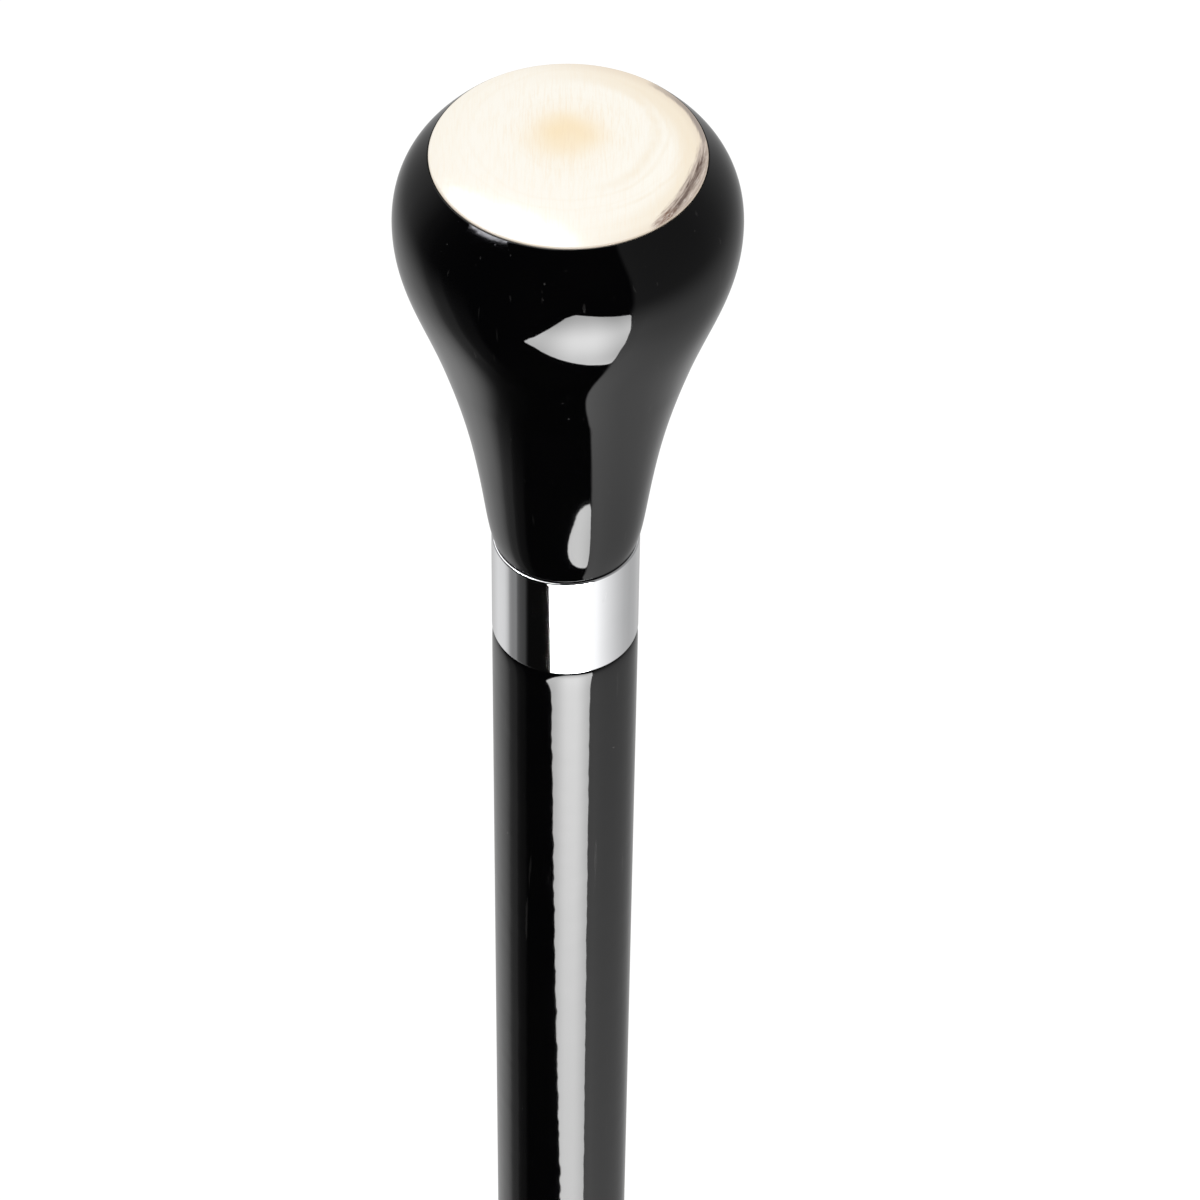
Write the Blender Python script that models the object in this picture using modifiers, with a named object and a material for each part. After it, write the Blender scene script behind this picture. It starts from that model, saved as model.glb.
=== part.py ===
"""A dress cane: a tapered stick, a chrome collar and a turned knob with a disc let into its crown.

The cane stands on the origin, the middle of its rubber foot's ground face, and runs up +Z. Metres.
"""

import math

import bmesh
import bpy
from mathutils import Vector
from mathutils.geometry import interpolate_bezier

# The gap between faces that touch
FIT_GAP = 0.0003

# Ferrule, the rubber foot
FERRULE_SOCKET_DEPTH = 0.0280
FERRULE_FLOOR = 0.0100          # rubber under the socket
FERRULE_WALL = 0.0026           # round the socket's mouth
FERRULE_FOOT_RADIUS = 0.0150
FERRULE_FOOT_HEIGHT = 0.0070
FERRULE_FOOT_EDGE = 0.0010
FERRULE_FOOT_LEAN = -35.0       # degrees by which the waist leans in where it leaves the foot
FERRULE_LIP_EDGE = 0.0006
FERRULE_RING_COUNT = 3
FERRULE_RING_PITCH = 0.0026
FERRULE_RING_WIDTH = 0.0013
FERRULE_RING_PROUD = 0.0005
TREAD_BUTTON_RADIUS = 0.0045
TREAD_GROOVE_WIDTH = 0.0018
TREAD_GROOVE_DEPTH = 0.0012
TREAD_LAND_WIDTH = 0.0024

# Washer on the floor of the ferrule's socket
WASHER_THICKNESS = 0.0012
WASHER_BORE_RADIUS = 0.0026

# Shaft
SHAFT_LENGTH = 0.8225           # from its end in the ferrule to the shoulder under the collar
SHAFT_TIP_RADIUS = 0.0081
SHAFT_TOP_RADIUS = 0.0095
SHAFT_TIP_CHAMFER = 0.0008
SHAFT_SHOULDER_ROUND = 0.0004

# Collar, flush with the shaft
COLLAR_HEIGHT = 0.0165
COLLAR_WALL = 0.0010
COLLAR_EDGE = 0.0003

# Knob, an outline of three Bezier spans. A slope is degrees by which the outline leans out on its way up
KNOB_LEDGE = 0.00005            # how far the collar stands out round the knob's base
KNOB_BASE_EDGE = 0.00012
KNOB_BASE_SLOPE = 10.0
KNOB_BASE_HANDLE = 0.0073
KNOB_NECK_HEIGHT = 0.0330
KNOB_FLARE_RADIUS = 0.01586
KNOB_FLARE_SLOPE = 17.0
KNOB_FLARE_HANDLE_DOWN = 0.0168
KNOB_FLARE_HANDLE_UP = 0.0096
KNOB_BULB_RISE = 0.0196
KNOB_BULB_RADIUS = 0.02115
KNOB_BULB_HANDLE_DOWN = 0.0058
KNOB_BULB_HANDLE_UP = 0.0057
KNOB_CROWN_RISE = 0.01046
KNOB_RIM_RADIUS = 0.01675
KNOB_RIM_SLOPE = -42.0
KNOB_RIM_HANDLE = 0.0029
KNOB_LIP_WIDTH = 0.0002

# Disc in the crown
DISC_THICKNESS = 0.0036
DISC_EDGE_LEAN = 0.0010         # how much its foot is smaller in radius than its rim
DISC_DOME = 0.0005              # how far its middle stands above its rim

# Stud, and the threaded insert that it screws into
STUD_RADIUS = 0.0040
STUD_CHAMFER = 0.0008
STUD_IN_SHAFT = 0.0340          # below the collar's upper rim
STUD_SET_BACK = 0.0030          # from its upper end to the insert's
INSERT_WALL = 0.0017
INSERT_LENGTH = 0.0180
INSERT_CHAMFER = 0.0005
HOLE_RUNOUT = 0.0030            # hole left in the knob above the insert

# Facets round each turned piece, and steps along each curved stretch
KNOB_FACETS = 64
SLIM_FACETS = 48
INNER_FACETS = 32
SPAN_STEPS = 8
EDGE_STEPS = 3
DOME_STEPS = 5
SMOOTH_ANGLE = math.radians(32)

# Radii that follow from the sizes above
COLLAR_RADIUS = SHAFT_TOP_RADIUS
COLLAR_BORE_RADIUS = COLLAR_RADIUS - COLLAR_WALL
TENON_RADIUS = COLLAR_BORE_RADIUS - FIT_GAP
KNOB_BASE_RADIUS = COLLAR_RADIUS - KNOB_LEDGE
STUD_HOLE_RADIUS = STUD_RADIUS + FIT_GAP
INSERT_RADIUS = STUD_HOLE_RADIUS + INSERT_WALL
RECESS_RADIUS = KNOB_RIM_RADIUS - KNOB_LIP_WIDTH
DISC_RADIUS = RECESS_RADIUS - FIT_GAP

# Heights above the ground that follow from the sizes above
FERRULE_HEIGHT = FERRULE_FLOOR + FERRULE_SOCKET_DEPTH
WASHER_BOTTOM = FERRULE_FLOOR + FIT_GAP
WASHER_TOP = WASHER_BOTTOM + WASHER_THICKNESS
SHAFT_BOTTOM = WASHER_TOP + FIT_GAP
SHOULDER = SHAFT_BOTTOM + SHAFT_LENGTH
COLLAR_BOTTOM = SHOULDER + FIT_GAP
COLLAR_TOP = COLLAR_BOTTOM + COLLAR_HEIGHT
STUD_BOTTOM = COLLAR_TOP - STUD_IN_SHAFT
KNOB_BOTTOM = COLLAR_TOP + FIT_GAP
INSERT_TOP = KNOB_BOTTOM + INSERT_LENGTH
FLARE = KNOB_BOTTOM + KNOB_NECK_HEIGHT
BULB = FLARE + KNOB_BULB_RISE
RIM = BULB + KNOB_CROWN_RISE
DISC_BOTTOM = RIM - DISC_THICKNESS


def shaft_radius(height):
    """The shaft's radius at a height above the ground: a straight taper from shoulder to tip."""
    share = (height - SHAFT_BOTTOM) / SHAFT_LENGTH
    return SHAFT_TIP_RADIUS + share * (SHAFT_TOP_RADIUS - SHAFT_TIP_RADIUS)


# The socket clears the widest of the shaft that it slides over
SOCKET_RADIUS = max(shaft_radius(FERRULE_HEIGHT), SHAFT_TIP_RADIUS) + FIT_GAP
MOUTH_RADIUS = SOCKET_RADIUS + FERRULE_WALL
WASHER_RADIUS = SOCKET_RADIUS - FIT_GAP


def clear_scene():
    """Empty the scene of its objects."""
    for obj in list(bpy.data.objects):
        bpy.data.objects.remove(obj, do_unlink=True)


def make_material(name, colour, roughness, metallic):
    """A plain material for one piece."""
    material = bpy.data.materials.new(name)
    material.use_nodes = True
    shader = material.node_tree.nodes["Principled BSDF"]
    shader.inputs["Base Color"].default_value = (*colour, 1.0)
    shader.inputs["Roughness"].default_value = roughness
    shader.inputs["Metallic"].default_value = metallic
    material.diffuse_color = (*colour, 1.0)
    return material


def leaning(slope):
    """The unit vector, in radius and height, that leans out from straight up by a slope in degrees."""
    turn = math.radians(slope)
    return Vector((math.sin(turn), math.cos(turn)))


def rounded_corner(corner, radius, upper):
    """An outline's points round a square outer corner, at the top or the foot of an upright side."""
    rise = 1 if upper else -1
    centre = Vector(corner) - Vector((radius, rise * radius))
    turns = [step / EDGE_STEPS * math.pi / 2 for step in range(EDGE_STEPS + 1)]
    if upper:
        turns.reverse()
    return [centre + radius * Vector((math.cos(turn), rise * math.sin(turn))) for turn in turns]


def span(top, top_slope, top_handle, foot, foot_slope, foot_handle):
    """An outline's points along a Bezier span that runs down from its top to its foot."""
    ends = (
        Vector(top),
        Vector(top) - leaning(top_slope) * top_handle,
        Vector(foot) + leaning(foot_slope) * foot_handle,
        Vector(foot),
    )
    points = interpolate_bezier(*[end.to_3d() for end in ends], SPAN_STEPS + 1)
    return [point.to_2d() for point in points]


def lathe_mesh(name, outline, closed, facets):
    """The mesh that an outline of (radius, height) points sweeps round the Z axis."""
    shape = bmesh.new()
    corners = [shape.verts.new((radius, 0.0, height)) for radius, height in outline]
    for upper, lower in zip(corners, corners[1:]):
        shape.edges.new((upper, lower))
    if closed:
        shape.edges.new((corners[-1], corners[0]))
    profile = bpy.data.meshes.new(name + "_profile")
    shape.to_mesh(profile)
    shape.free()

    lathe = bpy.data.objects.new(name + "_lathe", profile)
    bpy.context.scene.collection.objects.link(lathe)
    screw = lathe.modifiers.new("Screw", "SCREW")
    screw.axis = "Z"
    screw.angle = math.tau
    screw.steps = facets
    screw.render_steps = facets
    screw.use_merge_vertices = True
    screw.merge_threshold = 0.00001
    graph = bpy.context.evaluated_depsgraph_get()
    mesh = bpy.data.meshes.new_from_object(lathe.evaluated_get(graph))
    mesh.name = name
    bpy.data.objects.remove(lathe)
    bpy.data.meshes.remove(profile)
    return mesh


def turned(name, outline, base, parent, material, facets, closed=False):
    """A turned piece, from an outline that runs down its outer side, in radii and heights above the ground.

    An open outline starts and ends on the axis, and a closed one goes round a ring. The piece's own origin
    is on the axis at the height of its base.
    """
    own = [(point[0], point[1] - base) for point in outline]
    mesh = lathe_mesh(name, own, closed, facets)
    mesh.shade_smooth()
    mesh.set_sharp_from_angle(angle=SMOOTH_ANGLE)
    mesh.materials.append(material)
    piece = bpy.data.objects.new(name, mesh)
    piece.parent = parent
    piece.location.z = base - parent.location.z
    parent.users_collection[0].objects.link(piece)
    return piece


def knob_side():
    """The knob's outer side, from its rim down over the bulb and the neck to its base."""
    rim = (KNOB_RIM_RADIUS, RIM)
    bulb = (KNOB_BULB_RADIUS, BULB)
    flare = (KNOB_FLARE_RADIUS, FLARE)
    base = (KNOB_BASE_RADIUS, KNOB_BOTTOM + KNOB_BASE_EDGE)
    crown = span(rim, KNOB_RIM_SLOPE, KNOB_RIM_HANDLE, bulb, 0.0, KNOB_BULB_HANDLE_UP)
    belly = span(bulb, 0.0, KNOB_BULB_HANDLE_DOWN, flare, KNOB_FLARE_SLOPE, KNOB_FLARE_HANDLE_UP)
    neck = span(flare, KNOB_FLARE_SLOPE, KNOB_FLARE_HANDLE_DOWN, base, KNOB_BASE_SLOPE, KNOB_BASE_HANDLE)
    return crown + belly[1:] + neck[1:]


def make_knob(cane):
    """The turned knob, with a recess for the disc above, and the insert's pocket and the stud's hole below."""
    recess_floor = DISC_BOTTOM - FIT_GAP
    pocket_radius = INSERT_RADIUS + FIT_GAP
    pocket_top = INSERT_TOP + FIT_GAP
    outline = [
        (0.0, recess_floor),
        (RECESS_RADIUS - DISC_EDGE_LEAN, recess_floor),
        (RECESS_RADIUS, RIM),
    ]
    outline += knob_side()
    outline += [
        (KNOB_BASE_RADIUS - KNOB_BASE_EDGE, KNOB_BOTTOM),
        (pocket_radius, KNOB_BOTTOM),
        (pocket_radius, pocket_top),
        (STUD_HOLE_RADIUS, pocket_top),
        (STUD_HOLE_RADIUS, pocket_top + HOLE_RUNOUT),
        (0.0, pocket_top + HOLE_RUNOUT),
    ]
    lacquer = make_material("knob_lacquer", (0.006, 0.006, 0.007), 0.05, 0.0)
    return turned("knob", outline, KNOB_BOTTOM, cane, lacquer, KNOB_FACETS)


def make_crown_disc(cane):
    """The disc in the knob's crown: a leaning edge that fits the recess, and a face with a slight dome."""
    outline = []
    for step in range(DOME_STEPS + 1):
        share = step / DOME_STEPS
        outline.append((DISC_RADIUS * share, RIM + DISC_DOME * (1 - share * share)))
    outline += [(DISC_RADIUS - DISC_EDGE_LEAN, DISC_BOTTOM), (0.0, DISC_BOTTOM)]
    horn = make_material("polished_horn", (0.87, 0.80, 0.68), 0.18, 0.0)
    return turned("crown_disc", outline, DISC_BOTTOM, cane, horn, KNOB_FACETS)


def make_knob_insert(cane):
    """The threaded bush in the knob's base, its ends chamfered."""
    outline = [
        (STUD_HOLE_RADIUS, INSERT_TOP),
        (INSERT_RADIUS - INSERT_CHAMFER, INSERT_TOP),
        (INSERT_RADIUS, INSERT_TOP - INSERT_CHAMFER),
        (INSERT_RADIUS, KNOB_BOTTOM + INSERT_CHAMFER),
        (INSERT_RADIUS - INSERT_CHAMFER, KNOB_BOTTOM),
        (STUD_HOLE_RADIUS, KNOB_BOTTOM),
    ]
    brass = make_material("brass", (0.70, 0.50, 0.22), 0.30, 1.0)
    return turned("knob_insert", outline, KNOB_BOTTOM, cane, brass, INNER_FACETS, closed=True)


def make_joining_stud(cane):
    """The stud that joins knob and shaft, with a chamfer at each end."""
    top = INSERT_TOP - STUD_SET_BACK
    outline = [
        (0.0, top),
        (STUD_RADIUS - STUD_CHAMFER, top),
        (STUD_RADIUS, top - STUD_CHAMFER),
        (STUD_RADIUS, STUD_BOTTOM + STUD_CHAMFER),
        (STUD_RADIUS - STUD_CHAMFER, STUD_BOTTOM),
        (0.0, STUD_BOTTOM),
    ]
    steel = make_material("zinc_plated_steel", (0.55, 0.56, 0.58), 0.30, 1.0)
    return turned("joining_stud", outline, STUD_BOTTOM, cane, steel, INNER_FACETS)


def make_collar(cane):
    """The plated ring round the shaft's tenon, its outer edges slightly rounded."""
    outline = [(COLLAR_BORE_RADIUS, COLLAR_TOP)]
    outline += rounded_corner((COLLAR_RADIUS, COLLAR_TOP), COLLAR_EDGE, upper=True)
    outline += rounded_corner((COLLAR_RADIUS, COLLAR_BOTTOM), COLLAR_EDGE, upper=False)
    outline.append((COLLAR_BORE_RADIUS, COLLAR_BOTTOM))
    chrome = make_material("chrome_plate", (0.78, 0.79, 0.81), 0.06, 1.0)
    return turned("collar", outline, COLLAR_BOTTOM, cane, chrome, SLIM_FACETS, closed=True)


def make_shaft(cane):
    """The tapered stick, with a tenon above its shoulder for the collar and a hole down it for the stud."""
    hole_floor = STUD_BOTTOM - FIT_GAP
    outline = [
        (0.0, hole_floor),
        (STUD_HOLE_RADIUS, hole_floor),
        (STUD_HOLE_RADIUS, COLLAR_TOP),
        (TENON_RADIUS, COLLAR_TOP),
        (TENON_RADIUS, SHOULDER),
    ]
    outline += rounded_corner((SHAFT_TOP_RADIUS, SHOULDER), SHAFT_SHOULDER_ROUND, upper=True)
    outline += [
        (SHAFT_TIP_RADIUS, SHAFT_BOTTOM + SHAFT_TIP_CHAMFER),
        (SHAFT_TIP_RADIUS - SHAFT_TIP_CHAMFER, SHAFT_BOTTOM),
        (0.0, SHAFT_BOTTOM),
    ]
    lacquer = make_material("shaft_lacquer", (0.006, 0.006, 0.007), 0.06, 0.0)
    return turned("shaft", outline, SHAFT_BOTTOM, cane, lacquer, SLIM_FACETS)


def grip_rings():
    """The raised rings under the ferrule's mouth, from the highest down, and the height where they end."""
    points = []
    slant = (FERRULE_RING_WIDTH - FERRULE_RING_PROUD) / 4
    top = FERRULE_HEIGHT - FERRULE_LIP_EDGE
    for ring in range(FERRULE_RING_COUNT):
        middle = top - (ring + 0.5) * FERRULE_RING_PITCH
        points += [
            (MOUTH_RADIUS, middle + FERRULE_RING_WIDTH / 2),
            (MOUTH_RADIUS + FERRULE_RING_PROUD, middle + slant),
            (MOUTH_RADIUS + FERRULE_RING_PROUD, middle - slant),
            (MOUTH_RADIUS, middle - FERRULE_RING_WIDTH / 2),
        ]
    return points, top - FERRULE_RING_COUNT * FERRULE_RING_PITCH


def tread():
    """The ferrule's ground face from the outside in: two ring grooves round a flat button."""
    outer_groove = TREAD_BUTTON_RADIUS + TREAD_GROOVE_WIDTH + TREAD_LAND_WIDTH
    points = []
    for inner_side in (outer_groove, TREAD_BUTTON_RADIUS):
        outer_side = inner_side + TREAD_GROOVE_WIDTH
        points += [
            (outer_side, 0.0),
            (outer_side, TREAD_GROOVE_DEPTH),
            (inner_side, TREAD_GROOVE_DEPTH),
            (inner_side, 0.0),
        ]
    return points


def make_ferrule(cane):
    """The rubber foot: a socket for the shaft, a waisted body and a broad foot with a ring tread."""
    rings, waist_top = grip_rings()
    waist_height = waist_top - FERRULE_FOOT_HEIGHT
    foot_top = (FERRULE_FOOT_RADIUS, FERRULE_FOOT_HEIGHT)
    outline = [
        (0.0, FERRULE_FLOOR),
        (SOCKET_RADIUS, FERRULE_FLOOR),
        (SOCKET_RADIUS, FERRULE_HEIGHT),
    ]
    outline += rounded_corner((MOUTH_RADIUS, FERRULE_HEIGHT), FERRULE_LIP_EDGE, upper=True)
    outline += rings
    outline += span(
        (MOUTH_RADIUS, waist_top), 0.0, waist_height / 2, foot_top, FERRULE_FOOT_LEAN, waist_height / 4
    )
    outline += rounded_corner((FERRULE_FOOT_RADIUS, 0.0), FERRULE_FOOT_EDGE, upper=False)
    outline += tread()
    outline.append((0.0, 0.0))
    rubber = make_material("black_rubber", (0.018, 0.018, 0.018), 0.75, 0.0)
    return turned("ferrule", outline, 0.0, cane, rubber, SLIM_FACETS)


def make_ferrule_washer(ferrule):
    """The flat washer between the floor of the ferrule's socket and the shaft's end."""
    outline = [
        (WASHER_BORE_RADIUS, WASHER_TOP),
        (WASHER_RADIUS, WASHER_TOP),
        (WASHER_RADIUS, WASHER_BOTTOM),
        (WASHER_BORE_RADIUS, WASHER_BOTTOM),
    ]
    steel = make_material("washer_steel", (0.50, 0.51, 0.53), 0.35, 1.0)
    return turned("ferrule_washer", outline, WASHER_BOTTOM, ferrule, steel, INNER_FACETS, closed=True)


def main():
    """Build the cane in its own collection, under an empty on the ground."""
    clear_scene()
    collection = bpy.data.collections.new("dress_cane")
    bpy.context.scene.collection.children.link(collection)
    cane = bpy.data.objects.new("cane_origin", None)
    collection.objects.link(cane)
    make_knob(cane)
    make_crown_disc(cane)
    make_knob_insert(cane)
    make_joining_stud(cane)
    make_collar(cane)
    make_shaft(cane)
    ferrule = make_ferrule(cane)
    make_ferrule_washer(ferrule)


main()
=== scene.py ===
"""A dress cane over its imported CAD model: its pieces, their finishes and a photo stage.

Laid out as a Blender add-on and run as a script. Metres, in the CAD model's frame: the cane stands on the
origin and runs up +Z, and the camera looks along +Y and down.
"""

import math

import bmesh
import bpy
from bpy.props import FloatProperty, FloatVectorProperty, IntProperty, PointerProperty
from bpy.types import Operator, Panel, PropertyGroup
from mathutils import Matrix, Vector
from mathutils.geometry import interpolate_bezier


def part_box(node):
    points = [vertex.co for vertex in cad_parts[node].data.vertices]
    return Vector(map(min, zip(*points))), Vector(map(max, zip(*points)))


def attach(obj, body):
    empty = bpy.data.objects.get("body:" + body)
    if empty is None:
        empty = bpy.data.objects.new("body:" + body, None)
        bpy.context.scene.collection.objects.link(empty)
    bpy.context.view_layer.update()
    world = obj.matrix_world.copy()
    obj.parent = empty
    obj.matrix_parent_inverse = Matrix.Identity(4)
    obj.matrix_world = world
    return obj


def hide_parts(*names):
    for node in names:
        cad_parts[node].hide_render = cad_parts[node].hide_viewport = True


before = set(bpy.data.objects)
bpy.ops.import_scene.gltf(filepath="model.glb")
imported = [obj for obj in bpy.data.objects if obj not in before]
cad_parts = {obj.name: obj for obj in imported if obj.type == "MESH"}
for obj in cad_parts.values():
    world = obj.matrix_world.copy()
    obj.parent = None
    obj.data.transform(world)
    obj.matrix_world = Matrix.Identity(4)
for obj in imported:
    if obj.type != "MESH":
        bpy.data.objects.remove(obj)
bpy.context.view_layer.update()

bl_info = {
    "name": "Dress cane",
    "version": (1, 0, 0),
    "blender": (4, 5, 0),
    "location": "View3D > Sidebar > Dress Cane",
    "description": "Builds a dress cane piece by piece over its packed CAD model, with finishes and a photo stage",
    "category": "Add Mesh",
}

# Lowest and highest corners of the CAD nodes, from which the pieces take their places
DISC_LOW, DISC_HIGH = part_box("crown_disc")
KNOB_LOW, KNOB_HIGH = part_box("knob")
COLLAR_LOW, COLLAR_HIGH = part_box("collar")
SHAFT_LOW, SHAFT_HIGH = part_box("shaft")
STUD_LOW, STUD_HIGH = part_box("joining_stud")
INSERT_LOW, INSERT_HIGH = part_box("knob_insert")
WASHER_LOW, WASHER_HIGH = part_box("ferrule_washer")
_, FOOT_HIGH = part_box("ferrule")

FIT_GAP = 0.0003                  # between faces that touch
STUD_BORE = 0.0043                # radius of the stud's hole in knob and shaft
DISC_LEAN = 0.0013                # how much smaller in radius the disc's foot is than its rim
TENON_INSET = 0.0013              # from the outside of the collar in to the shaft's tenon
STUD_CHAMFER = 0.0008
THREAD_DEPTH = 0.54               # of a machine thread, as a share of its pitch

# Shares of a thread's pitch at which its profile leaves the crest, reaches the root and leaves that
MACHINE_THREAD = (0.125, 0.4375, 0.6875)
STUD_WOOD_THREAD = (0.05, 0.30, 0.74)
INSERT_WOOD_THREAD = (0.12, 0.36, 0.76)

STUD_NECK = 0.0034                # length of the plain shank between the stud's threads
STUD_POINT = 0.0060               # length of its blunt point
INSERT_THREAD = 0.0009            # depth of the insert's outer thread
INSERT_CHAMFER = 0.0002
HOLE_END, HOLE_POINT = 0.0033, 0.0048       # where the knob's hole for the stud ends, and its point, above the insert
WASHER_BORE = 0.0026

# The foot's grip rings, with each corner's height from the ring's middle, how far it stands out, and its round
GRIP_RINGS = 3
GRIP_RING = (
    (0.00075, 0.0, 0.00018), (0.00038, 0.0005, 0.00022), (-0.00038, 0.0005, 0.00022), (-0.00075, 0.0, 0.00018),
)
TREAD_LANDS = (0.0087, 0.0045)    # outer radii of the tread's inner rings
TREAD_GROOVE = 0.0018             # width of the grooves between them

DOME_STEPS = 24                   # facets from the disc's middle to its rim
ROUND_STEPS = 4                   # facets round a rounded corner
GUARD = 1.6                       # a guard point stands off a rounded corner by this many times the round
GUARD_ROOM = 3.4                  # and needs a side this many times as long as the round
SHARP = math.radians(32)          # edges that turn by more than this stay crisp

BLACK_LACQUER = (0.0010, 0.0010, 0.0012)


def screen(red, green, blue):
    """The linear colour of an 8-bit screen colour."""
    shares = [channel / 255 for channel in (red, green, blue)]
    return tuple(s / 12.92 if s <= 0.04045 else ((s + 0.055) / 1.055) ** 2.4 for s in shares)


# ---- Sizes and colours ----


def metres(name, default, description):
    """A length."""
    return FloatProperty(name=name, description=description, default=default, unit="LENGTH", precision=5)


def number(name, default, description, **limits):
    """A plain number, with its limits or its unit."""
    return FloatProperty(name=name, description=description, default=default, **limits)


def tint(name, default, description):
    """A colour."""
    return FloatVectorProperty(name=name, description=description, default=default, subtype="COLOR", min=0, max=1)


def facet_count(default, description):
    """How many facets a turned piece has."""
    return IntProperty(name="Facets", description=description, default=default, min=32, max=512)


class CrownDiscSettings(PropertyGroup):
    """The polished slice let into the knob's crown."""

    radius: metres("Radius", 0.01667, "Radius of the polished face")
    dome: metres("Dome", 0.0004, "How far its middle stands above its rim")
    edge: metres("Edge", 0.00016, "Round along the rim of the face")
    pale: tint("Pale zone", screen(252, 248, 238), "Colour between the core and the outer growth")
    outer: tint("Outer growth", screen(243, 230, 208), "Colour towards the rim")
    core: tint("Core", screen(249, 229, 193), "Colour of the tan spot round the pith")
    bark_dark: tint("Dark bark", screen(96, 76, 66), "Darker colour of the strip of bark left on the rim")
    bark_light: tint("Light bark", screen(202, 187, 174), "Lighter colour of the strip of bark")
    gloss: number("Roughness", 0.06, "Roughness of the polish", min=0.02, max=1)


class KnobSettings(PropertyGroup):
    """The turned handle, an outline of four spans from rim to base. A slope leans outwards on the way up."""

    base_radius: metres("Base radius", 0.00935, "Radius where it meets the collar")
    throat_height: metres("Throat height", 0.01295, "From the base to the throat, a place on the neck")
    throat_radius: metres("Throat radius", 0.01132, "Radius at the throat")
    neck_height: metres("Neck height", 0.0330, "From the base to the flare")
    flare_radius: metres("Flare radius", 0.01592, "Radius where the neck opens into the bulb")
    flare_slope: number("Flare slope", math.radians(17), "Lean of the outline at the flare", unit="ROTATION")
    bulb_rise: metres("Bulb rise", 0.0196, "From the flare to the widest place")
    bulb_radius: metres("Bulb radius", 0.02115, "Radius at the widest place")
    rim_radius: metres("Rim radius", 0.01673, "Outer radius of the crown's rim")
    lip: metres("Lip", 0.00012, "Round on the lacquer's edge along the disc")
    facets: facet_count(224, "Facets round the knob")
    colour: tint("Lacquer", BLACK_LACQUER, "Colour of the black lacquer")
    gloss: number("Roughness", 0.035, "Roughness of the lacquer", min=0.01, max=1)


class ShaftSettings(PropertyGroup):
    """The tapered stick."""

    top_radius: metres("Top radius", SHAFT_HIGH.x, "Radius under the collar")
    tip_radius: metres("Tip radius", 0.0081, "Radius at the lower end")
    shoulder_round: metres("Shoulder round", 0.00045, "How far the shoulder eases in under the collar")
    shoulder_height: metres("Shoulder height", 0.0044, "From the collar down to where the shaft is full")
    tip_round: metres("Tip round", 0.0008, "Round along the lower end")
    facets: facet_count(160, "Facets round the shaft")
    colour: tint("Lacquer", BLACK_LACQUER, "Colour of the black lacquer")
    wood: tint("Bare wood", (0.42, 0.25, 0.12), "Colour of the wood at the tenon and the lower end")
    gloss: number("Roughness", 0.045, "Roughness of the lacquer", min=0.01, max=1)


class CollarSettings(PropertyGroup):
    """The plated ring between shaft and knob."""

    wall: metres("Wall", 0.0010, "Thickness of the ring")
    edge: metres("Edge", 0.00023, "Round along its upper edge; the lower one has half of it")
    facets: facet_count(192, "Facets round the ring")
    colour: tint("Plate", (0.945, 0.95, 0.965), "Colour of the bright plate")
    gloss: number("Roughness", 0.045, "Roughness of the plate", min=0.01, max=1)


class HardwareSettings(PropertyGroup):
    """The stud and the insert that join knob and shaft."""

    pitch: metres("Machine pitch", 0.00125, "Pitch of the stud's upper thread")
    wood_pitch: metres("Wood pitch", 0.0028, "Pitch of the stud's lower thread and of the insert's outer one")
    shank: metres("Shank radius", 0.0036, "Radius of the stud between its threads")
    steel: tint("Steel", (0.55, 0.56, 0.58), "Colour of the zinc-plated steel")
    brass: tint("Brass", (0.70, 0.50, 0.22), "Colour of the insert's brass")


class FootSettings(PropertyGroup):
    """The pull-off rubber foot and its washer."""

    wall: metres("Mouth wall", 0.0026, "Rubber round the socket's mouth")
    floor: metres("Floor", 0.0100, "Rubber under the socket")
    foot_height: metres("Foot height", 0.0070, "Height of the broad foot")
    ring_pitch: metres("Ring pitch", 0.0026, "Spacing of the grip rings")
    groove_depth: metres("Groove depth", 0.0012, "Depth of the tread's grooves")
    rubber: tint("Rubber", (0.018, 0.018, 0.018), "Colour of the rubber")
    steel: tint("Washer steel", (0.50, 0.51, 0.53), "Colour of the washer")


class StudioSettings(PropertyGroup):
    """The pale floor, the soft light and the camera."""

    dome: number("Dome", 0.91, "Strength of the white dome that lights the cane")
    key: number("Key lamp", 11.4, "Power of the large soft lamp", unit="POWER")
    fill: number("Fill lamp", 5.0, "Power of the smaller soft lamp", unit="POWER")
    window: number("Main window", 20.8, "Brightness of the soft window that the lacquer mirrors")
    lens: number("Lens", 151.89, "Focal length in millimetres")
    floor: tint("Floor", (0.9, 0.9, 0.9), "Colour of the floor")


# ---- Shaping ----


def chain(shape, corners):
    """Join corners with edges, each to the next."""
    for first, second in zip(corners, corners[1:]):
        shape.edges.new((first, second))


def sweep(shape, angle, steps, climb=0.0, merge=False):
    """Sweep what is drawn round the Z axis, climbing a little on each step."""
    bmesh.ops.spin(
        shape, geom=shape.verts[:] + shape.edges[:], cent=(0, 0, 0), axis=(0, 0, 1), dvec=(0, 0, climb), angle=angle,
        steps=steps, use_merge=merge, use_duplicate=False,
    )


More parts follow.
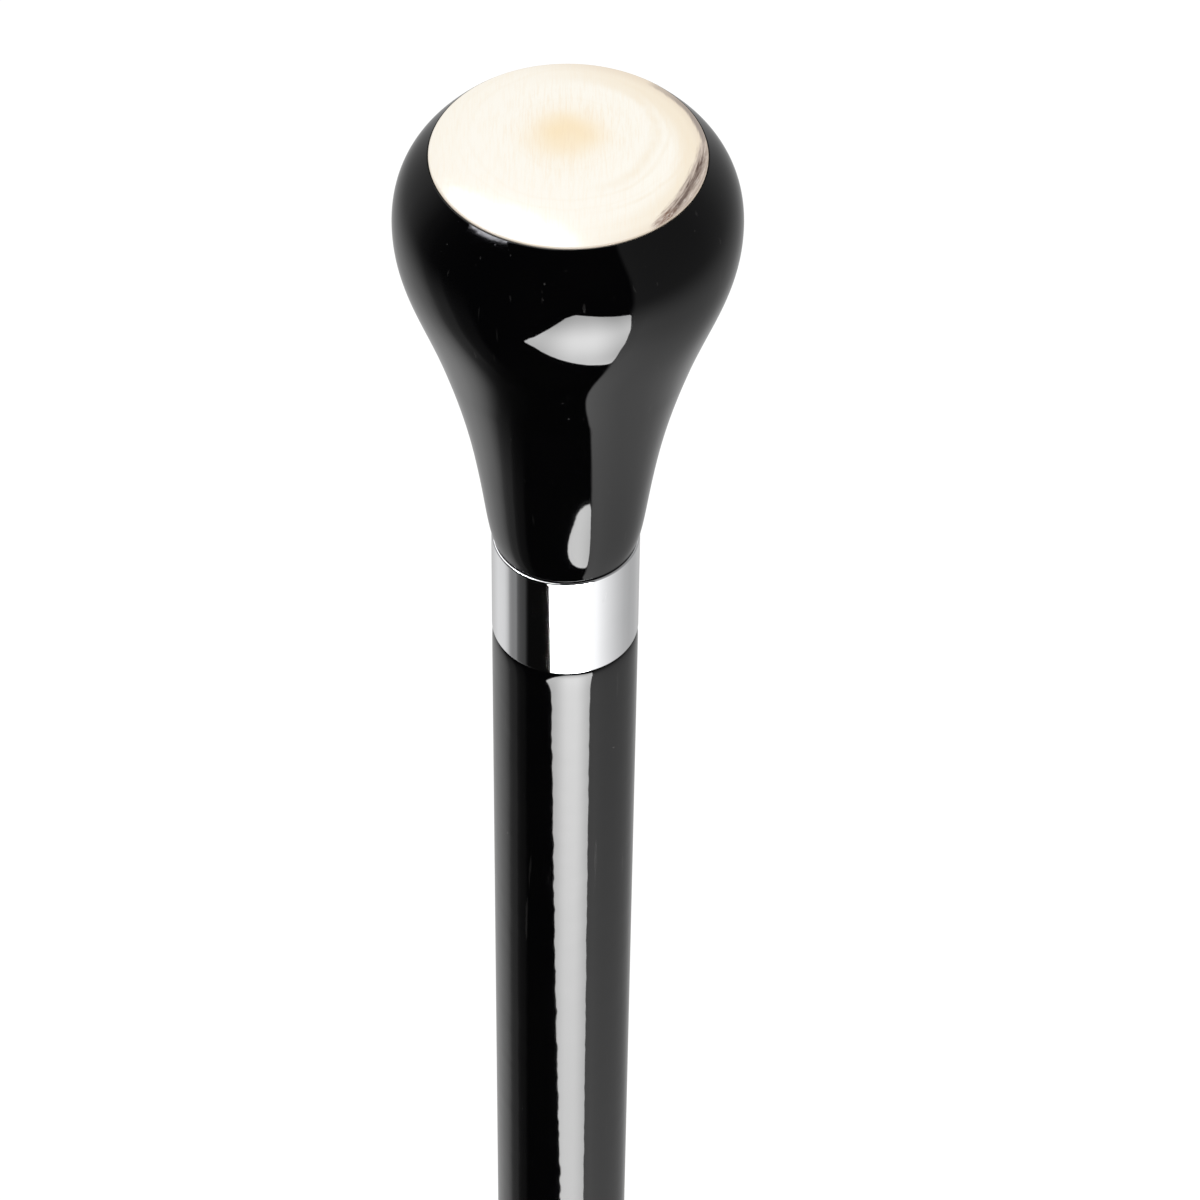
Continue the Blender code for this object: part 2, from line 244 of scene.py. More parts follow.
def draw_outline(shape, points, closed):
    """Draw an outline of (radius, height) points in the XZ plane.

    A third number rounds that corner off, and adds a guard point beyond the round so that what is flat stays flat.
    """
    places = [Vector((point[0], 0.0, point[1])) for point in points]
    corners, rounds = [], {}
    for index, point in enumerate(points):
        here = places[index]
        size = point[2] if len(point) > 2 else 0.0
        for side in (-1, 0, 1):
            if side == 0:
                corner = shape.verts.new(here)
                corners.append(corner)
                if size:
                    rounds.setdefault(size, []).append(corner)
                continue
            beside = index + side
            if size and (closed or 0 <= beside < len(points)):
                away = places[beside % len(points)] - here
                if away.length > GUARD_ROOM * size:
                    corners.append(shape.verts.new(here + away.normalized() * GUARD * size))
    chain(shape, corners)
    if closed:
        shape.edges.new((corners[-1], corners[0]))
    for size, rounded in rounds.items():
        bmesh.ops.bevel(
            shape, geom=rounded, offset=size, offset_type="OFFSET", segments=ROUND_STEPS, profile=0.5, material=-1,
            affect="VERTICES",
        )


def turned_shape(points, facets, closed=False):
    """A shape turned from an outline. An open outline starts and ends on the axis, a closed one rings it."""
    shape = bmesh.new()
    draw_outline(shape, points, closed)
    sweep(shape, math.tau, facets, merge=True)
    bmesh.ops.remove_doubles(shape, verts=shape.verts[:], dist=0.000002)
    bmesh.ops.recalc_face_normals(shape, faces=shape.faces[:])
    return shape


def ring_shape(bore, low, high, rounds, facets):
    """A plain ring that fills its box. Its corners are rounded in turn, from the upper inner one outwards."""
    corners = ((bore, high.z), (high.x, high.z), (high.x, low.z), (bore, low.z))
    return turned_shape([(*corner, size) for corner, size in zip(corners, rounds)], facets, closed=True)


def leaning(slope):
    """The unit (radius, height) direction that leans outwards from straight up by an angle."""
    return Vector((math.sin(slope), math.cos(slope)))


def span(top, top_slope, top_handle, foot, foot_slope, foot_handle, steps):
    """An outline's points along a Bezier span that runs down from its top to its foot."""
    ends = (
        Vector(top),
        Vector(top) - leaning(top_slope) * top_handle,
        Vector(foot) + leaning(foot_slope) * foot_handle,
        Vector(foot),
    )
    return [tuple(point.to_2d()) for point in interpolate_bezier(*[end.to_3d() for end in ends], steps + 1)]


def smoothed(points, passes):
    """An outline's points, each moved towards the middle of its neighbours on every pass; the ends stay."""
    places = [Vector(point) for point in points]
    for _ in range(passes):
        inner = [(a + b * 2 + c) / 4 for a, b, c in zip(places, places[1:], places[2:])]
        places = [places[0], *inner, places[-1]]
    return [tuple(place) for place in places]


def thread_shape(crest, root, pitch, shares, length, facets=40):
    """An open threaded sleeve, a length tall from Z = 0: a profile swept up a helix and cut square at both ends."""
    crest_end, root_start, root_end = [pitch * share for share in shares]
    profile = ((crest, 0.0), (crest, crest_end), (root, root_start), (root, root_end), (crest, pitch))
    shape = bmesh.new()
    chain(shape, [shape.verts.new((radius, 0.0, height - pitch)) for radius, height in profile])
    turns = math.ceil(length / pitch) + 2
    sweep(shape, math.tau * turns, facets * turns, climb=pitch / facets)
    bmesh.ops.remove_doubles(shape, verts=shape.verts[:], dist=0.000005)
    for height, way in ((0.0, -1), (length, 1)):
        bmesh.ops.bisect_plane(
            shape, geom=shape.verts[:] + shape.edges[:] + shape.faces[:], dist=0.000001, plane_co=(0, 0, height),
            plane_no=(0, 0, way), clear_outer=True,
        )
    return shape


def reshape(shape, rule):
    """Move each point of a shape in or out to the radius that a rule gives for its radius and height."""
    for vert in shape.verts:
        radius = math.hypot(vert.co.x, vert.co.y)
        if radius:
            share = rule(radius, vert.co.z) / radius
            vert.co.x *= share
            vert.co.y *= share


def add_shape(shape, part, lift):
    """Add another shape to this one, lifted."""
    bmesh.ops.translate(part, verts=part.verts[:], vec=(0, 0, lift))
    carrier = bpy.data.meshes.new("carrier")
    part.to_mesh(carrier)
    part.free()
    shape.from_mesh(carrier)
    bpy.data.meshes.remove(carrier)


def open_edges(shape, low, high):
    """The edges of open ends between two heights."""
    return [
        edge for edge in shape.edges
        if edge.is_boundary and all(low <= vert.co.z <= high for vert in edge.verts)
    ]


def ease(value, low, high):
    """From 0 at low to 1 at high, with soft ends."""
    share = min(max((value - low) / (high - low), 0.0), 1.0)
    return share * share * (3 - 2 * share)


def new_object(name, data):
    """An object linked to the scene."""
    thing = bpy.data.objects.new(name, data)
    bpy.context.scene.collection.objects.link(thing)
    return thing


def mesh_object(shape, name, material):
    """An object made from a shape, which is used up."""
    mesh = bpy.data.meshes.new(name)
    shape.to_mesh(mesh)
    shape.free()
    mesh.materials.append(material)
    return new_object(name, mesh)


def finish_piece(shape, name, body, node, material):
    """Make a shape an object that rides on a body and stands for a CAD node."""
    for face in shape.faces:
        face.smooth = True
    for edge in shape.edges:
        edge.smooth = edge.calc_face_angle(0.0) < SHARP
    loose = sum(1 for edge in shape.edges if not edge.is_manifold)
    if loose:
        raise RuntimeError(f"{name} is open along {loose} edges")
    piece = mesh_object(shape, name, material)
    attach(piece, body)
    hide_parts(node)


# ---- Nodes ----


def opaque(colour):
    """A colour as a socket takes it: three numbers get a fourth, and a linked colour stays as it is."""
    return colour if isinstance(colour, bpy.types.NodeSocket) else (*colour, 1.0)


class Net:
    """A node tree and short ways to add to it. Each gives a result to link onwards."""

    def __init__(self, tree):
        self.tree = tree

    def feed(self, node, inputs):
        """Set or link a node's inputs by name or number."""
        for key, value in inputs.items():
            if isinstance(value, bpy.types.NodeSocket):
                self.tree.links.new(value, node.inputs[key])
            else:
                node.inputs[key].default_value = value
        return node

    def add(self, kind, inputs=None, **settings):
        """Add a node with its settings and inputs."""
        node = self.tree.nodes.new(f"ShaderNode{kind}")
        for name, value in settings.items():
            setattr(node, name, value)
        return self.feed(node, inputs or {})

    def maths(self, operation, *values, clamp=False):
        """The result of a Math node."""
        return self.add("Math", dict(enumerate(values)), operation=operation, use_clamp=clamp).outputs[0]

    def times(self, first, second):
        """A product."""
        return self.maths("MULTIPLY", first, second)

    def times_plus(self, first, second, more, clamp=False):
        """A product, plus something more."""
        return self.maths("MULTIPLY_ADD", first, second, more, clamp=clamp)

    def away(self, value, middle):
        """How far a value is from a middle, either way."""
        return self.maths("ABSOLUTE", self.maths("SUBTRACT", value, middle))

    def rise(self, value, low, high, top=1.0):
        """A soft step from 0 at low to top at high."""
        inputs = {"Value": value, "From Min": low, "From Max": high, "To Max": top}
        return self.add("MapRange", inputs, interpolation_type="SMOOTHSTEP").outputs[0]

    def vectors(self, operation, *values):
        """The result of a Vector Math node."""
        node = self.add("VectorMath", dict(enumerate(values)), operation=operation)
        return node.outputs["Value" if operation in ("LENGTH", "DOT_PRODUCT", "DISTANCE") else "Vector"]

    def scaled(self, vector, factor):
        """A vector or a light, scaled."""
        return self.add("VectorMath", {0: vector, "Scale": factor}, operation="SCALE").outputs["Vector"]

    def parts(self, vector):
        """A vector's X, Y and Z."""
        return self.add("SeparateXYZ", {0: vector}).outputs

    def place(self):
        """Object coordinates."""
        return self.add("TexCoord").outputs["Object"]

    def mapped(self, place, **inputs):
        """A place moved, turned or scaled."""
        named = {name.capitalize(): value for name, value in inputs.items()}
        return self.add("Mapping", {"Vector": place, **named}).outputs[0]

    def noise(self, place, scale, detail=2.0, roughness=0.5, output="Fac"):
        """Noise at a place."""
        inputs = {"Vector": place, "Scale": scale, "Detail": detail, "Roughness": roughness}
        return self.add("TexNoise", inputs).outputs[output]

    def mix(self, factor, first, second):
        """Two colours mixed by a factor."""
        return self.add("Mix", {0: factor, 6: opaque(first), 7: opaque(second)}, data_type="RGBA").outputs[2]

    def bump(self, height, distance, below=None):
        """The normal of a bumped surface, over another one if given."""
        inputs = {"Height": height, "Distance": distance}
        if below is not None:
            inputs["Normal"] = below
        return self.add("Bump", inputs).outputs[0]

    def seen_by_eye(self):
        """The light path's outputs, and 1 for what the camera sees, straight or through something clear."""
        path = self.add("LightPath").outputs
        return path, self.maths("MAXIMUM", path["Is Camera Ray"], path["Is Transmission Ray"])

    def group(self, name, build, vectors, numbers):
        """The outputs, all numbers, of a shared group with its inputs set. Its first use builds it."""
        shared = bpy.data.node_groups.get(name)
        if shared is None:
            shared = bpy.data.node_groups.new(name, "ShaderNodeTree")
            for label in vectors:
                shared.interface.new_socket(label, in_out="INPUT", socket_type="NodeSocketVector")
            for label, value in numbers.items():
                socket = shared.interface.new_socket(label, in_out="INPUT", socket_type="NodeSocketFloat")
                socket.default_value = value
            results = build(Net(shared), shared.nodes.new("NodeGroupInput").outputs)
            for label in results:
                shared.interface.new_socket(label, in_out="OUTPUT", socket_type="NodeSocketFloat")
            Net(shared).feed(shared.nodes.new("NodeGroupOutput"), results)
        return self.add("Group", {**vectors, **numbers}, node_tree=shared).outputs


def handling_marks(net, place, size):
    """Marks of handling: fine hairlines in three directions, small flecks of dust, and a cloudy mask."""

    def build(inner, given):
        place, size = given["Place"], given["Size"]
        lines = None
        for turn_by, squeeze in (((0.3, 0.2, 0.5), 17.0), ((1.1, -0.6, 1.9), 13.0), ((-0.7, 0.9, 2.8), 21.0)):
            across = inner.mapped(place, rotation=turn_by, scale=(squeeze, squeeze, 1.0))
            line = inner.rise(inner.noise(across, size, 1.0), 0.75, 0.82)
            lines = line if lines is None else inner.maths("MAXIMUM", lines, line)
        flecks = inner.rise(inner.noise(place, inner.times(size, 14.0), 1.5), 0.785, 0.835)
        return {"Hairlines": lines, "Flecks": flecks, "Cloud": inner.noise(place, size, 4.0)}

    return net.group("handling_marks", build, {"Place": place}, {"Size": size})


def lathe_rings(net, place, fineness):
    """The fine rings that a turning tool leaves round the Z axis."""

    def build(inner, given):
        x, y, z = inner.parts(given["Place"])
        radius = inner.vectors("LENGTH", inner.add("CombineXYZ", {0: x, 1: y}).outputs[0])
        ring = inner.add("CombineXYZ", {0: radius, 2: z}).outputs[0]
        return {"Rings": inner.noise(ring, given["Fineness"], 3.0)}

    return net.group("lathe_marks", build, {"Place": place}, {"Fineness": fineness})["Rings"]


# ---- Finishes ----


def new_finish(name):
    """A material and the net of its node tree, with its shader in place."""
    material = bpy.data.materials.new(name)
    material.use_nodes = True
    return material, Net(material.node_tree)


def coat(net, colour, roughness, normal, **constants):
    """Give the shader its colour, roughness and normal, and set its even values on its own sockets."""
    inputs = {"Base Color": colour, "Roughness": roughness, "Normal": normal, **constants}
    net.feed(net.tree.nodes["Principled BSDF"], inputs)


def darker(colour, share):
    """A colour times a share."""
    return [channel * share for channel in colour]


def horn_finish(sizes):
    """Polished slice: growth rings round an off-centre pith, a tan core, fine streaks and a strip of bark.

    Its sizes are in millimetres from the middle of the slice, and its angles in degrees from +X.
    """
    material, net = new_finish("polished_slice")
    times, times_plus, rise, mix = net.times, net.times_plus, net.rise, net.mix
    rim = DISC_HIGH.z - sizes.dome
    mm = net.mapped(net.place(), location=(0, 0, -rim * 1000), scale=(1000, 1000, 1000))
    drift = net.noise(mm, 0.16, 1.0, output="Color")
    warped = net.vectors("MULTIPLY_ADD", drift, (1.4, 1.4, 0.0), net.vectors("ADD", mm, (-0.7, -0.7, 0.0)))
    flat = net.vectors("MULTIPLY", warped, (1.0, 1.0, 0.0))
    from_pith = net.vectors("DISTANCE", flat, (0.0, 3.3, 0.0))
    from_centre = net.vectors("LENGTH", net.vectors("MULTIPLY", mm, (1.0, 1.0, 0.0)))
    x, y, _ = net.parts(mm)
    angle = times(net.maths("ARCTAN2", y, x), 180 / math.pi)

    def near_angle(middle, half):
        return rise(net.away(angle, middle), half, half * 0.4)

    # Growth: faint rings, warmer arcs on the right, and the warm outer growth
    rings = net.add(
        "TexNoise", {"W": times(from_pith, 1.15), "Scale": 1.0, "Detail": 3.0}, noise_dimensions="1D"
    ).outputs["Fac"]
    colour = mix(rise(rings, 0.48, 0.85, 0.12), sizes.pale, sizes.outer)
    patchy = times_plus(net.noise(mm, 0.45), 1.5, -0.05, clamp=True)
    for place, width, strength in ((10.4, 1.2, 0.62), (11.9, 0.45, 0.26), (14.3, 0.5, 0.42), (7.6, 0.9, 0.12)):
        arc = times(rise(net.away(from_pith, place), width, 0.0), rise(x, 0.5, 9.5, strength))
        colour = mix(times(arc, patchy), colour, sizes.outer)
    outer = times_plus(rise(times_plus(y, 0.25, x), -4.0, 15.5), 0.80, 0.10)
    colour = mix(times(outer, rise(from_centre, 11.9, 14.4)), colour, sizes.outer)
    colour = mix(times(outer, rise(from_centre, 14.8, 16.4, 0.8)), colour, screen(229, 214, 195))

    # Core: an even patch in a wide soft stain
    stain = None
    for centre, spread, strength in (
        ((-0.2, 3.0, 0.0), (7.6, 8.4, 1.0), 0.34), ((0.1, 3.2, 0.0), (5.4, 5.6, 1.0), 0.46),
        ((-1.3, 5.0, 0.0), (3.6, 3.4, 1.0), 0.18), ((2.6, 3.6, 0.0), (3.4, 3.0, 1.0), 0.14),
        ((-3.4, 1.8, 0.0), (4.0, 4.6, 1.0), 0.14),
    ):
        near = net.vectors("LENGTH", net.vectors("DIVIDE", net.vectors("SUBTRACT", flat, centre), spread))
        lobe = rise(near, 1.0, 0.2, strength)
        stain = lobe if stain is None else net.maths("ADD", stain, lobe, clamp=True)
    colour = mix(stain, colour, sizes.core)

    # Fine streaks from front to back, clearest in the middle
    strands = net.noise(net.mapped(mm, rotation=(0, 0, -0.07), scale=(4.4, 0.30, 1.0)), 1.0, 3.0, 0.7)
    streak = times(rise(strands, 0.42, 0.70), times_plus(rise(from_pith, 12.0, 3.0), 0.22, 0.16))
    colour = mix(streak, colour, screen(243, 222, 190))

    # Bark: streaks along the rim, bending with the strip's inner edge
    along = times_plus(angle, 1 / 29.0, 21.5 / 29.0)
    bend = times(along, along)
    level = times_plus(bend, -0.75, from_centre)
    streaks_at = net.add("CombineXYZ", {0: times(angle, 0.085), 1: times(level, 4.6)}).outputs[0]
    grain = net.noise(streaks_at, 1.0, 3.0, 0.6)
    fine = net.noise(net.vectors("MULTIPLY", streaks_at, (2.4, 1.7, 1.0)), 1.0, 2.0, 0.6)
    beyond = net.maths("SUBTRACT", from_centre, times_plus(bend, 1.15, 14.80))
    beyond = times_plus(grain, 0.7, times_plus(fine, 0.35, beyond))
    ends = rise(times_plus(fine, 0.3, net.maths("ABSOLUTE", along)), 1.30, 1.12)
    bark = times(rise(beyond, 0.05, 0.60), ends)
    band = times(rise(net.away(beyond, 1.20), 0.55, 0.10), near_angle(-24.0, 33.0))
    lower = rise(angle, -34.0, -44.0)
    dark = times_plus(rise(grain, 0.40, 0.66), 0.45, times(band, 0.72), clamp=True)
    dark = times_plus(times(lower, rise(fine, 0.42, 0.62)), 0.5, dark, clamp=True)
    bark_colour = mix(dark, sizes.bark_light, mix(lower, sizes.bark_dark, screen(124, 92, 74)))
    # Pale streaks in the bark: fibres at its ragged lower end, and painted highlight streaks along the rim
    pale_streaks_and_glints = times(rise(fine, 0.54, 0.66), rise(from_centre, 15.4, 16.1, 0.5))
    pale_streaks_and_glints = net.maths("MAXIMUM", pale_streaks_and_glints, times(lower, rise(fine, 0.45, 0.36, 0.8)))
    bark_colour = mix(pale_streaks_and_glints, bark_colour, screen(226, 216, 207))

    # A grey strip that runs on along the rim, small stains, and a tan edge
    ragged = times_plus(grain, 0.5, from_centre)
    for middle, half, inner, strength in (
        (19.0, 29.0, 15.85, 0.95), (43.0, 13.0, 15.75, 0.55), (-150.0, 16.0, 16.2, 0.3),
    ):
        here = times(near_angle(middle, half), rise(ragged, inner + 0.2, inner + 0.6, strength))
        colour = mix(here, colour, screen(158, 146, 138))
    colour = mix(bark, colour, bark_colour)
    edge = times(rise(from_centre, 16.40, 16.58), times_plus(rise(y, 4.0, -9.0), 0.45, 0.2))
    colour = mix(edge, colour, screen(205, 190, 172))

    marks = handling_marks(net, net.place(), 90.0)
    colour = mix(times(marks["Flecks"], 0.2), colour, screen(214, 192, 160))
    rough = times_plus(strands, 0.05, sizes.gloss - 0.025)
    rough = times_plus(bark, 0.15, times_plus(marks["Hairlines"], 0.12, rough))
    normal = net.bump(times(bark, grain), 0.00006, below=net.bump(marks["Cloud"], 0.00003))
    coat(net, colour, rough, normal, IOR=1.5)
    return material


def lacquer_finish(name, sizes, wave_size, wave_depth, bare=None):
    """Black gloss lacquer with a slow waviness, hairlines and flecks, and bare wood where it was masked off."""
    material, net = new_finish(name)
    times, times_plus, rise, mix, bump = net.times, net.times_plus, net.rise, net.mix, net.bump
    place = net.place()
    marks = handling_marks(net, place, 70.0)
    colour = mix(rise(marks["Cloud"], 0.4, 0.75, 0.5), sizes.colour, (0.0016, 0.0015, 0.0016))
    worn = times_plus(marks["Hairlines"], 0.03, times(marks["Flecks"], 0.10))
    colour = mix(worn, colour, (0.35, 0.34, 0.33))
    rough = times_plus(marks["Cloud"], 0.02, sizes.gloss - 0.01)
    rough = times_plus(marks["Flecks"], 0.25, times_plus(marks["Hairlines"], 0.10, rough))
    normal = bump(net.noise(place, wave_size, 1.0), wave_depth)
    normal = bump(net.noise(place, 1100.0, 1.0), 0.0000011, below=normal)
    normal = bump(marks["Flecks"], 0.00001, below=normal)
    if bare is not None:
        low, high, wood = bare
        height = net.parts(place)[2]
        mask = net.maths("ADD", rise(height, low + 0.0006, low + 0.0002), rise(height, high, high + 0.0001))
        grain = net.noise(net.mapped(place, scale=(1.0, 1.0, 0.04)), 1500.0, 4.0, 0.6)
        from_heart = net.vectors("DISTANCE", net.mapped(place, scale=(1, 1, 0.02)), (0.02, -0.006, 0.0))
        years = net.maths("SINE", times(from_heart, 5200.0))
        timber = mix(times_plus(years, 0.18, grain, clamp=True), wood, darker(wood, 0.45))
        colour = mix(mask, colour, timber)
        rough = times_plus(mask, 0.62, rough)
        normal = bump(times(grain, mask), 0.00008, below=normal)
    coat(net, colour, rough, normal, IOR=1.4)
    return material


def plate_finish(sizes):
    """Bright chrome plate with faint hairlines from wiping."""
    material, net = new_finish("chrome_plate")
    marks = handling_marks(net, net.place(), 110.0)
    bloom = net.rise(marks["Cloud"], 0.35, 0.8, 0.5)
    colour = net.mix(bloom, sizes.colour, darker(sizes.colour, 0.94))
    colour = net.mix(net.times(marks["Flecks"], 0.3), colour, (0.5, 0.49, 0.48))
    rough = net.times_plus(bloom, 0.02, net.times_plus(marks["Hairlines"], 0.12, sizes.gloss))
    coat(net, colour, rough, net.bump(marks["Cloud"], 0.000012), Metallic=1.0)
    return material


def machined_finish(name, colour, tarnish, roughness, fineness):
    """Satin metal with the rings of the turning tool and a little tarnish."""
    material, net = new_finish(name)
    place = net.place()
    rings = lathe_rings(net, place, fineness)
    stain = net.rise(handling_marks(net, place, 260.0)["Cloud"], 0.42, 0.75, 0.8)
    tone = net.mix(stain, colour, tarnish)
    tone = net.mix(net.rise(rings, 0.4, 0.7, 0.35), tone, darker(colour, 0.72))
    rough = net.times_plus(rings, 0.16, net.times_plus(stain, 0.14, roughness - 0.08))
    coat(net, tone, rough, net.bump(rings, 0.00002), Metallic=1.0)
    return material


def rubber_finish(sizes):
    """Moulded black rubber: a matt skin, pale dust in it, and a scuffed grey tread."""
    material, net = new_finish("black_rubber")
    times, rise = net.times, net.rise
    place = net.place()
    marks = handling_marks(net, place, 150.0)
    skin = net.noise(place, 2600.0, 3.0)
    dust = times(rise(marks["Cloud"], 0.42, 0.75), rise(skin, 0.35, 0.75, 0.55))
    low_down = rise(net.parts(place)[2], 0.006, 0.0005)
    scuff = times(rise(net.noise(place, 420.0, 5.0, 0.7), 0.42, 0.62), low_down)
    colour = net.mix(dust, sizes.rubber, (0.055, 0.053, 0.050))
    colour = net.mix(times(scuff, 0.7), colour, (0.085, 0.082, 0.078))
    colour = net.mix(times(marks["Flecks"], 0.5), colour, (0.22, 0.21, 0.20))
    rough = net.times_plus(dust, 0.2, net.times_plus(scuff, 0.2, 0.56))
    normal = net.bump(times(scuff, marks["Cloud"]), 0.00015, below=net.bump(skin, 0.00004))
    coat(net, colour, rough, normal, IOR=1.5)
    return material


# ---- Pieces ----


class CANE_OT_crown_disc(Operator):
    """Make the polished disc in the knob's crown"""

    bl_idname = "cane.crown_disc"
    bl_label = "Crown disc"

    def execute(self, context):
        sizes = context.scene.cane_crown_disc
        rim = DISC_HIGH.z - sizes.dome
        shares = [step / DOME_STEPS for step in range(DOME_STEPS)]
        outline = [(sizes.radius * share, rim + sizes.dome * (1 - share * share)) for share in shares]
        outline += [
            (sizes.radius, rim, sizes.edge), (sizes.radius - DISC_LEAN, DISC_LOW.z, 0.0003), (0.0, DISC_LOW.z),
        ]
        shape = turned_shape(outline, 224)
        finish_piece(shape, "crown_disc_slice", "cane", "crown_disc", horn_finish(sizes))
        return {"FINISHED"}


class CANE_OT_knob(Operator):
    """Make the turned and lacquered knob"""

    bl_idname = "cane.knob"
    bl_label = "Knob"

    def execute(self, context):
        sizes = context.scene.cane_knob
        flare_height = KNOB_LOW.z + sizes.neck_height
        foot = KNOB_LOW.z - 0.00006
        rim = (sizes.rim_radius, KNOB_HIGH.z - 0.00005)
        bulb = (sizes.bulb_radius, flare_height + sizes.bulb_rise)
        flare = (sizes.flare_radius, flare_height)
        throat = (sizes.throat_radius, KNOB_LOW.z + sizes.throat_height)
        base = (sizes.base_radius, KNOB_LOW.z + 0.00012)
        rim_slope, throat_slope, base_slope = math.radians(-42), math.radians(9.1), math.radians(18.3)
        crown = span(rim, rim_slope, 0.0029, bulb, 0.0, 0.0057, 64)
        belly = span(bulb, 0.0, 0.00625, flare, sizes.flare_slope, 0.0093, 28)
        neck = span(flare, sizes.flare_slope, 0.0112, throat, throat_slope, 0.0024, 28)
        neck += span(throat, throat_slope, 0.00577, base, base_slope, 0.0024, 20)[1:]
        neck = smoothed(neck, 6)
        recess_floor = DISC_LOW.z - FIT_GAP
        pocket = INSERT_HIGH.x + FIT_GAP
        outline = [(0.0, recess_floor), (rim[0] - DISC_LEAN, recess_floor, 0.0002), (*rim, sizes.lip)]
        outline += crown[1:] + belly[1:] + neck[1:-1]
        outline += [
            (sizes.base_radius - 0.00002, foot, 0.00012),
            (pocket, foot, 0.0002),
            (pocket, INSERT_HIGH.z + FIT_GAP),
            (STUD_BORE, INSERT_HIGH.z + FIT_GAP),
            (STUD_BORE, INSERT_HIGH.z + HOLE_END),
            (0.0, INSERT_HIGH.z + HOLE_POINT),
        ]
        shape = turned_shape(outline, sizes.facets)
        material = lacquer_finish("knob_lacquer", sizes, 160.0, 0.000005)
        finish_piece(shape, "knob_turning", "cane", "knob", material)
        return {"FINISHED"}


class CANE_OT_collar(Operator):
    """Make the chrome-plated collar"""

    bl_idname = "cane.collar"
    bl_label = "Collar"

    def execute(self, context):
        sizes = context.scene.cane_collar
        rounds = (0.0001, sizes.edge, sizes.edge * 0.5, 0.0001)
        shape = ring_shape(COLLAR_HIGH.x - sizes.wall, COLLAR_LOW, COLLAR_HIGH, rounds, sizes.facets)
        finish_piece(shape, "collar_ring", "cane", "collar", plate_finish(sizes))
        return {"FINISHED"}


class CANE_OT_shaft(Operator):
    """Make the tapered and lacquered shaft, with its tenon and the stud's hole"""

    bl_idname = "cane.shaft"
    bl_label = "Shaft"

    def execute(self, context):
        sizes = context.scene.cane_shaft
        shoulder = COLLAR_LOW.z - 0.00005
        tenon = COLLAR_HIGH.x - TENON_INSET
        eased = (sizes.top_radius - sizes.shoulder_round, shoulder)
        full = (sizes.top_radius, shoulder - sizes.shoulder_height)
        outline = [
            (0.0, STUD_LOW.z - 0.0025),
            (STUD_BORE, STUD_LOW.z - FIT_GAP),
            (STUD_BORE, SHAFT_HIGH.z, 0.0002),
            (tenon, SHAFT_HIGH.z, 0.0003),
            (tenon, shoulder),
            *span(eased, math.radians(-60), 0.00050, full, 0.0, sizes.shoulder_height * 0.75, 24),
            (sizes.tip_radius, SHAFT_LOW.z, sizes.tip_round),
            (0.0, SHAFT_LOW.z),
        ]
        shape = turned_shape(outline, sizes.facets)
        bare = (SHAFT_LOW.z, shoulder, sizes.wood)
        material = lacquer_finish("shaft_lacquer", sizes, 230.0, 0.000030, bare)
        finish_piece(shape, "shaft_stick", "cane", "shaft", material)
        return {"FINISHED"}


